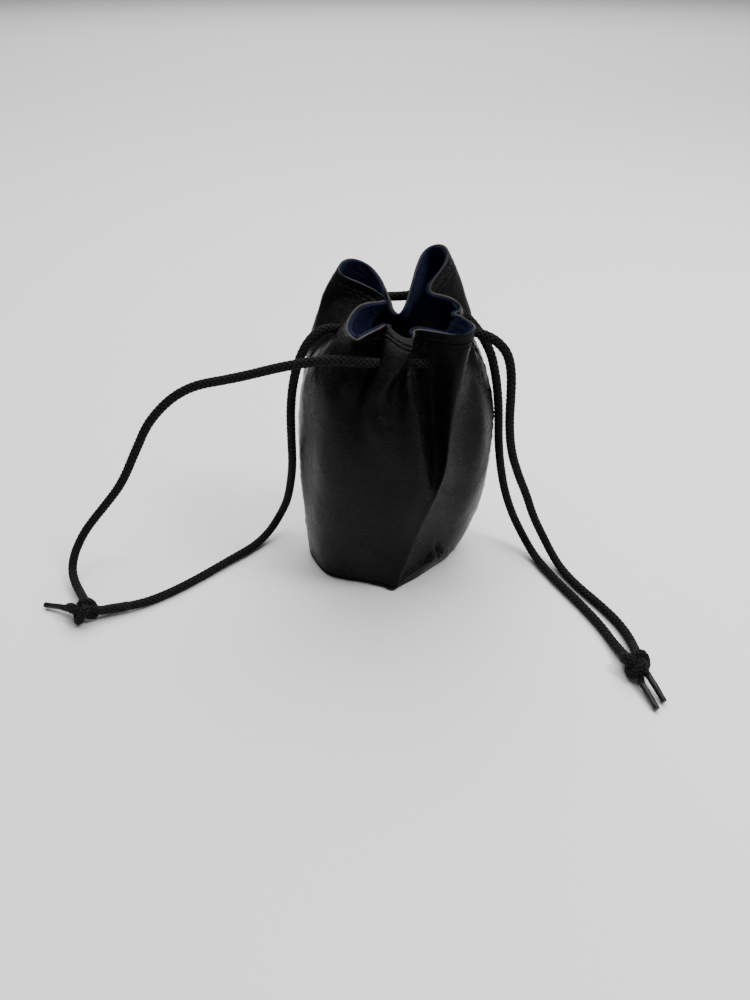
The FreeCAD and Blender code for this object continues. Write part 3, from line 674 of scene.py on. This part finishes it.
def braid_mesh(P, diameter=CORD_D, carriers=6, pitch=12.0, step=0.3, taper=(0.0, 0.0), loose=0.0):
    """Yarns plaited round a line: carriers each way, over and under in turn. Returns verts, faces and the mask the
    material turns into painted shade between the yarns.
    """
    P, s = evenly(P, step)
    P = softened(P, 6)
    T, A, B = frames_along(P)
    R = diameter / 2
    size = np.ones(len(s))
    for end, amount in zip((0, 1), taper):
        if amount:
            d = s if end == 0 else s[-1] - s
            size *= 1 - amount * np.exp(-(d / 2.2) ** 2)
    r0, lift, half_t = 0.735 * R * size, 0.120 * R * size, 0.155 * R * size
    w = 2 * math.pi / pitch
    half_w = 0.29 * R * size * (1 + 0.04 * np.sin(s * 1.7))
    V, F = [], []
    k = 6
    th = np.arange(k) * 2 * math.pi / k
    n = len(s)
    for turn in (1, -1):
        for j in range(carriers):
            a = turn * w * s + 2 * math.pi * j / carriers + (0.02 * np.sin(s * 0.9 + j) if loose == 0 else 0)
            r = r0 + turn * lift * np.cos(carriers * w * s)
            out = np.cos(a)[:, None] * A + np.sin(a)[:, None] * B
            C = P + out * r[:, None]
            D = unit(np.gradient(C, axis=0))
            W = unit(np.cross(D, out))
            Nn = np.cross(W, D)
            tube = C[:, None] + half_w[:, None, None] * np.cos(th)[None, :, None] * W[:, None] + half_t[:, None, None] * np.sin(th)[None, :, None] * Nn[:, None]
            base = len(V) * n * k
            V.append(tube.reshape(-1, 3))
            jj, ii = np.meshgrid(np.arange(n - 1), np.arange(k), indexing="ij")
            p = (base + jj * k + ii).ravel()
            q = (base + jj * k + (ii + 1) % k).ravel()
            F.append(np.stack([p, q, q + k, p + k], 1))
    core_r = 0.64 * R * size
    kc = 12
    tc = np.arange(kc) * 2 * math.pi / kc
    base = sum(len(v) for v in V)
    core = P[:, None] + core_r[:, None, None] * (np.cos(tc)[None, :, None] * A[:, None] + np.sin(tc)[None, :, None] * B[:, None])
    V.append(core.reshape(-1, 3))
    jj, ii = np.meshgrid(np.arange(n - 1), np.arange(kc), indexing="ij")
    p = (base + jj * kc + ii).ravel()
    q = (base + jj * kc + (ii + 1) % kc).ravel()
    F.append(np.stack([p, q, q + kc, p + kc], 1))
    # closed ends
    for end in (0, n - 1):
        c = base + end * kc
        for i in range(0, kc - 2, 2):
            f = (c, c + i + 1, c + i + 2, c + min(i + 3, kc - 1))
            F.append(np.array([f if end else f[::-1]]))
    verts = np.concatenate(V)
    near = np.concatenate([np.repeat(np.arange(n), k)] * (2 * carriers) + [np.repeat(np.arange(n), kc)])
    # how far each point stands out from the line: the mask for the braid's painted shade
    painted_crown_shade = np.linalg.norm(verts - P[near], axis=1) / (R * size[near])
    return verts, np.concatenate(F), painted_crown_shade


def with_painted_crown_shade(ob, painted_crown_shade):
    """Stores how far each point of a braid stands out, for its material, which paints shade into the gaps between the
    yarns and lighter crowns on them.
    """
    at = ob.data.attributes.new("painted_crown_shade", "FLOAT", "POINT")
    at.data.foreach_set("value", np.asarray(painted_crown_shade, np.float32))
    return ob


def nurbs_line(name, points, resolution=24):
    """The centreline of a route given in metres, as Blender's own NURBS gives it."""
    cu = bpy.data.curves.new(name, "CURVE")
    cu.dimensions = "3D"
    cu.resolution_u = resolution
    sp = cu.splines.new("NURBS")
    sp.points.add(len(points) - 1)
    for p, co in zip(sp.points, points):
        p.co = (*co, 1)
    sp.order_u = 3
    sp.use_endpoint_u = True
    ob = bpy.data.objects.new(name, cu)
    bpy.context.scene.collection.objects.link(ob)
    bpy.context.view_layer.update()
    me = bpy.data.meshes.new_from_object(ob.evaluated_get(bpy.context.evaluated_depsgraph_get()))
    line = np.array([v.co for v in me.vertices])
    bpy.data.meshes.remove(me)
    bpy.data.objects.remove(ob)
    bpy.data.curves.remove(cu)
    return line


ROUTES = {
    "left_strand_front": [
        (0.0015, -0.0137, 0.0994), (-0.0053, -0.0190, 0.1001), (-0.0136, -0.0219, 0.1022), (-0.0250, -0.0226, 0.1036),
        (-0.0409, -0.0207, 0.1003), (-0.0599, -0.0180, 0.0939), (-0.0801, -0.0150, 0.0888), (-0.0954, -0.0143, 0.0753),
        (-0.1043, -0.0136, 0.0592), (-0.1127, -0.0129, 0.0434), (-0.1222, -0.0121, 0.0317), (-0.1289, -0.0118, 0.0238),
        (-0.1331, -0.0120, 0.0186), (-0.1365, -0.0140, 0.0135), (-0.1385, -0.0181, 0.0093), (-0.1389, -0.0227, 0.0052),
        (-0.1360, -0.0291, 0.0038), (-0.1321, -0.0350, 0.0038), (-0.1286, -0.0404, 0.0048)],
    "left_strand_rear": [
        (-0.0214, 0.0022, 0.1043), (-0.0260, 0.0005, 0.1057), (-0.0309, -0.0022, 0.1049), (-0.0356, -0.0053, 0.1002),
        (-0.0394, -0.0072, 0.0910), (-0.0420, -0.0068, 0.0770), (-0.0428, -0.0052, 0.0610), (-0.0434, -0.0023, 0.0459),
        (-0.0457, 0.0024, 0.0318), (-0.0480, 0.0067, 0.0213), (-0.0504, 0.0093, 0.0144), (-0.0532, 0.0100, 0.0086),
        (-0.0563, 0.0062, 0.0050), (-0.0602, 0.0014, 0.0026), (-0.0650, -0.0047, 0.0020), (-0.0735, -0.0131, 0.0020),
        (-0.0838, -0.0240, 0.0020), (-0.0961, -0.0349, 0.0020), (-0.1076, -0.0422, 0.0024), (-0.1204, -0.0468, 0.0042)],
    "right_strand_front": [
        (0.0222, -0.0059, 0.1069), (0.0264, -0.0072, 0.1076), (0.0307, -0.0092, 0.1073), (0.0352, -0.0110, 0.1058),
        (0.0396, -0.0123, 0.1018), (0.0418, -0.0129, 0.0950), (0.0428, -0.0125, 0.0846), (0.0436, -0.0112, 0.0710),
        (0.0460, -0.0096, 0.0570), (0.0504, -0.0076, 0.0445), (0.0556, -0.0060, 0.0326), (0.0599, -0.0056, 0.0208),
        (0.0647, -0.0072, 0.0118), (0.0688, -0.0117, 0.0050), (0.0724, -0.0195, 0.0020), (0.0774, -0.0305, 0.0020),
        (0.0839, -0.0412, 0.0020), (0.0892, -0.0519, 0.0020), (0.0914, -0.0626, 0.0024), (0.0908, -0.0706, 0.0040)],
    "right_strand_rear": [
        (0.0164, 0.0083, 0.1100), (0.0216, 0.0066, 0.1100), (0.0258, 0.0044, 0.1084), (0.0294, 0.0020, 0.1052),
        (0.0328, 0.0002, 0.1008), (0.0356, -0.0007, 0.0956), (0.0376, -0.0008, 0.0890), (0.0396, -0.0004, 0.0800),
        (0.0412, 0.0004, 0.0690), (0.0424, 0.0016, 0.0560), (0.0447, 0.0030, 0.0418), (0.0481, 0.0038, 0.0275),
        (0.0526, 0.0021, 0.0156), (0.0573, -0.0020, 0.0075), (0.0615, -0.0095, 0.0026), (0.0660, -0.0207, 0.0020),
        (0.0716, -0.0322, 0.0020), (0.0774, -0.0438, 0.0020), (0.0820, -0.0548, 0.0020), (0.0844, -0.0646, 0.0024),
        (0.0864, -0.0716, 0.0040)],
}
STRANDS = {}
PATHS = {}
for name, route in ROUTES.items():
    line = nurbs_line(name + "_route", route)
    PATHS[name] = line
    V_, F_, painted_crown_shade_ = braid_mesh(line / MM)
    STRANDS[name] = with_painted_crown_shade(mesh_object(name + "_braid", V_, F_, [BRAID]), painted_crown_shade_)

# the cords' middles, drawn round the neck through the folds
WAISTS = {
    "left": [(1.5, -13.7, 99.4), (5.4, -15.9, 98.7), (9, -15.0, 98.2), (11.8, -12.2, 98.4), (15, -7.6, 98.8), (17.6, -1, 99.6), (17.4, 5.6, 100.6),
             (13.4, 11.6, 101), (8.6, 15.4, 102), (1.2, 18, 102.4), (-6.4, 15.6, 102.4), (-12.4, 11.2, 102.6), (-16.6, 6, 103), (-21.4, 2.2, 104.3)],
    "right": [(22.2, -5.9, 106.9), (18.6, -6.2, 103), (13.6, -7.6, 99.5), (6.6, -7.8, 97.6), (-2, -8.4, 97), (-9, -7.8, 97.4), (-15.4, -5.4, 98.8),
              (-17.0, 0.4, 101.6), (-13.6, 5.4, 106), (-13.2, 12.8, 108.6), (-9.6, 17.2, 110.4), (-3.6, 16.8, 111.5), (1, 16.4, 111.7), (5.6, 18, 111.6),
              (9.8, 24.4, 110.6), (16, 25, 108.4), (21.4, 20.4, 104.6), (21, 14.6, 103.6), (19.4, 11.2, 106), (16.4, 8.3, 110.0)],
}
waist = {}
for side, pts in WAISTS.items():
    line = nurbs_line(side + "_waist_route", [tuple(x * MM for x in p) for p in pts])
    V_, F_, painted_crown_shade_ = braid_mesh(line / MM)
    waist[side] = with_painted_crown_shade(mesh_object(side + "_waist_braid", V_, F_, [BRAID]), painted_crown_shade_)


# ---------------------------------------------------------------- knots and aglets
def knot_mesh(name, centre, half, turn, tails, stubs, seed):
    """Two plies of one overhand knot pulled tight, the strands' ends going in and a short tail to each aglet."""
    c, s = math.cos(math.radians(turn)), math.sin(math.radians(turn))
    V, F, C, n = [], [], [], 0
    t = np.linspace(0, 2 * math.pi, 181)
    lines = []
    for k, (phase, grow, lift) in enumerate(((0.0, 0.92, 0.0), (0.75, 0.80, 0.5))):
        x = (np.sin(t + phase) + 2 * np.sin(2 * (t + phase))) / 3 * (half[0] - 1.8) * grow + 0.3 * np.sin(3 * t + seed)
        y = (np.cos(t + phase) - 2 * np.cos(2 * (t + phase))) / 3 * (half[1] - 1.6) * grow + 0.2 * np.cos(2 * t + seed)
        z = -np.sin(3 * (t + phase)) * (half[2] - 2.1) * grow + lift - 0.2
        lines.append((np.stack([centre[0] + x * c - y * s, centre[1] + x * s + y * c, np.maximum(centre[2] + z, 1.95)], 1), 3.5, (0, 0)))
    lines += [(np.array(line, float), 3.6, (0, 0)) for line in stubs]
    lines += [(np.array(line, float), 3.2, (0.0, 0.22)) for line in tails]
    for line, d, taper in lines:
        v, f, painted_crown_shade = braid_mesh(line, diameter=d, pitch=11.0, taper=taper)
        V.append(v)
        C.append(painted_crown_shade)
        F.append(f + n)
        n += len(v)
    return with_painted_crown_shade(mesh_object(name, np.concatenate(V), np.concatenate(F), [BRAID]), np.concatenate(C))


def aglet_mesh(name, start, tip, radius=1.15, length=13.5, seed=0.0):
    """Heat-shrunk film over the braid's end: a flared lip, a crimped neck, a wrinkled sleeve and a closed tip."""
    a, b = np.array(start, float), np.array(tip, float)
    d = unit(b - a)
    a = b - d * length
    x = unit(np.cross(d, [0, 0, 1.0]))
    y = np.cross(x, d)
    s = np.concatenate([np.linspace(0, 1.2, 14), np.linspace(1.3, length - 0.4, 90), length - 0.35 + 0.35 * np.sin(np.linspace(0.1, 1.55, 10))])
    prof = np.where(s < 1.4, 1.14 - 0.10 * s, 1.0) + 0.10 * np.exp(-((s - 0.35) / 0.3) ** 2) - 0.06 * np.exp(-((s - 2.2) / 0.7) ** 2) \
        + 0.035 * np.exp(-((s - 6.6) / 2.6) ** 2) - 0.03 * np.exp(-((s - 10.6) / 1.2) ** 2)
    tipf = np.clip((length - s) / 0.35, 0, 1)
    prof *= np.where(s > length - 0.35, 0.72 + 0.28 * np.sqrt(np.maximum(1 - (1 - tipf) ** 2, 0.0)), 1)
    k = 28
    th = np.arange(k) * 2 * math.pi / k
    ring_r = radius * prof[:, None] * (1 + 0.022 * np.sin(3 * th[None] + s[:, None] * 0.9 + seed) + 0.014 * np.sin(7 * th[None] - 1.6 * s[:, None]))
    P = a + d * s[:, None]
    P = P + y * (0.12 * np.sin(s / length * math.pi))[:, None]
    V = P[:, None] + ring_r[..., None] * (np.cos(th)[None, :, None] * x + np.sin(th)[None, :, None] * y)
    n = len(s)
    V = np.concatenate([V.reshape(-1, 3), [P[0] + d * 0.5], [b]])
    V[:, 2] = np.maximum(V[:, 2], 0.15)
    F = []
    for j in range(n - 1):
        for i in range(k):
            m = (i + 1) % k
            F.append((j * k + i, j * k + m, (j + 1) * k + m, (j + 1) * k + i))
    for i in range(k):
        m = (i + 1) % k
        F.append((n * k, m, i))
        F.append((n * k + 1, (n - 1) * k + i, (n - 1) * k + m))
    return mesh_object(name, V, F, [FILM])


KNOTS = {
    "left": ((-126.8, -47.9, 5.3), (7.4, 5.9, 5.1), 10.0),
    "right": ((88.4, -76.0, 5.3), (6.8, 6.5, 5.1), -127.0),
}
AGLETS = {
    "left_aglet_front": ((-132.6, -44.6, 3.2), (-145.2, -40.8, 1.7)),
    "left_aglet_rear": ((-123.0, -45.1, 3.0), (-111.0, -40.0, 1.5)),
    "right_aglet_front": ((88.6, -81.4, 3.0), (92.0, -94.2, 1.5)),
    "right_aglet_rear": ((91.6, -79.4, 4.6), (95.6, -90.9, 1.5)),
}
knots, aglets = {}, {}
for i, (n_, (a_, b_)) in enumerate(AGLETS.items()):
    aglets[n_] = aglet_mesh(n_ + "_film", a_, b_, seed=1.7 * i)
for side, (c_, h_, t_) in KNOTS.items():
    c_ = np.array(c_)
    tails, stubs = [], []
    for n_, (a_, b_) in AGLETS.items():
        if n_.startswith(side):
            a_, b_ = np.array(a_), np.array(b_)
            d_ = unit(b_ - a_)
            inner_end = b_ - d_ * (8.0 if n_ == "left_aglet_front" else 9.8)
            mid = inner_end - d_ * 2.2
            mid[2] = max(mid[2], 1.9)
            tails.append([c_ * 0.8 + inner_end * 0.2 + np.array([0, 0, 0.6]), c_ * 0.45 + inner_end * 0.55, mid, inner_end])
    for n_, line in PATHS.items():
        if n_.startswith(side):
            line = line / MM
            stubs.append([line[-14], line[-6], line[-1], line[-1] * 0.5 + c_ * 0.5 + np.array([0, 0, 1.2]), c_ + np.array([0, 0, 0.9])])
    tails = [softened(evenly(np.array(x), 0.4)[0], 14) for x in tails]
    stubs = [softened(evenly(np.array(x), 0.4)[0], 14) for x in stubs]
    knots[side] = knot_mesh(side + "_knot_braid", c_, h_, t_, tails, stubs, 1.0 if side == "left" else 2.6)


# ---------------------------------------------------------------- bodies
for ob, nodes, lip, slot_name in (
        (skin_front, ("front_panel", "front_lip"), "front", "leatherette"),
        (skin_rear, ("rear_panel", "rear_lip"), "rear", "leatherette"),
        (felt_front, ("front_lining", "front_lip_lining"), "front", "felt_lining"),
        (felt_rear, ("rear_lining", "rear_lip_lining"), "rear", "felt_lining"),
        (hem["front"], ("front_hem_stitching",), "front", "thread"),
        (hem["rear"], ("rear_hem_stitching",), "rear", "thread")):
    if lip == "front":
        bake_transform(ob)
    else:
        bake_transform(ob)
    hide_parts(*nodes)
for ob, node, slot_name in (
        (base_skin, "base_panel", "leatherette"), (base_felt, "base_lining", "felt_lining"),
        (seam_threads["right"], "right_side_seam_stitching", "thread"), (seam_threads["left"], "left_side_seam_stitching", "thread"),
        (base_threads, "base_seam_stitching", "thread"),
        (waist["left"], "left_drawstring_waist", "drawstring"), (waist["right"], "right_drawstring_waist", "drawstring")):
    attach(ob, "pouch")
    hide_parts(node)
for side in ("left", "right"):
    body = side + "_pull"
    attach(knots[side], body)
    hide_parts(side + "_knot")
    for part in ("front", "rear"):
        ag = aglets[side + "_aglet_" + part]
        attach(ag, body)
        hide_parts(side + "_aglet_" + part)
        st = side + "_strand_" + part
        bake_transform(STRANDS[st])
        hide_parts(st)


# ---------------------------------------------------------------- floor and light
floor_mesh = bpy.data.meshes.new("floor")
floor_mesh.from_pydata([(-12, -12, 0), (12, -12, 0), (12, 12, 0), (-12, 12, 0)], [], [(0, 1, 2, 3)])
floor = bpy.data.objects.new("floor", floor_mesh)
bpy.context.scene.collection.objects.link(floor)
fm = bpy.data.materials.new("floor_pale")
fm.use_nodes = True
fb = fm.node_tree.nodes["Principled BSDF"]
fb.inputs["Base Color"].default_value = (0.9, 0.9, 0.9, 1)
fb.inputs["Roughness"].default_value = 0.7
floor_mesh.materials.append(fm)

world = bpy.data.worlds.new("studio")
bpy.context.scene.world = world
world.use_nodes = True
world.node_tree.nodes["Background"].inputs["Color"].default_value = (1, 1, 1, 1)
world.node_tree.nodes["Background"].inputs["Strength"].default_value = 0.15


def softbox(name, at, to, size, power):
    d = bpy.data.lights.new(name, "AREA")
    d.shape = "RECTANGLE"
    d.size, d.size_y = size
    d.energy = power
    o = bpy.data.objects.new(name, d)
    bpy.context.scene.collection.objects.link(o)
    o.location = at
    o.rotation_euler = (Vector(to) - Vector(at)).to_track_quat("-Z", "Y").to_euler()


softbox("overhead", (0.0, 0.25, 1.3), (0.0, 0.0, 0.0), (1.5, 1.0), 19.5)
softbox("key", (0.46, -0.14, 0.74), (0.0, 0.0, 0.06), (0.20, 0.20), 3.8)
softbox("far", (0.0, 2.2, 1.9), (0.0, 1.6, 0.0), (2.6, 1.6), 62.0)
softbox("rim", (0.5, 0.45, 0.7), (0.0, 0.0, 0.08), (0.3, 0.25), 1.3)

bpy.context.view_layer.update()
